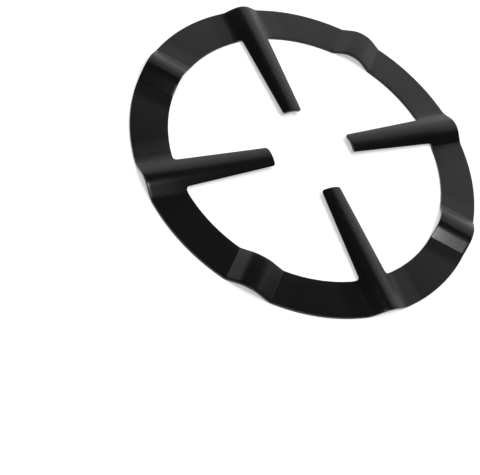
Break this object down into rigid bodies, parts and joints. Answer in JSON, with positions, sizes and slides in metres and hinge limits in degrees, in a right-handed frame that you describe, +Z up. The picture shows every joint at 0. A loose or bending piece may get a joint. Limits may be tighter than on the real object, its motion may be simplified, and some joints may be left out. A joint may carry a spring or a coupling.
{
  "type": "gas hob reducer ring",
  "caption": "Round pressed-steel ring with arched fingers pointing inwards, laid on a gas hob's pan support so that a small pot stands safely over the burner.",
  "frame": {"origin": "centre of the ring, on the plane of the band's underside", "axes": "+Z up towards the pot, square to the band; +X along one finger and +Y along the next"},
  "size_m": [0.145, 0.145, 0.0041],
  "materials": {
    "coated_steel": "satin black heat-resistant coat on pressed sheet steel"
  },
  "bodies": {
    "root": {"reducer_ring": "coated_steel"}
  },
  "joints": []
}
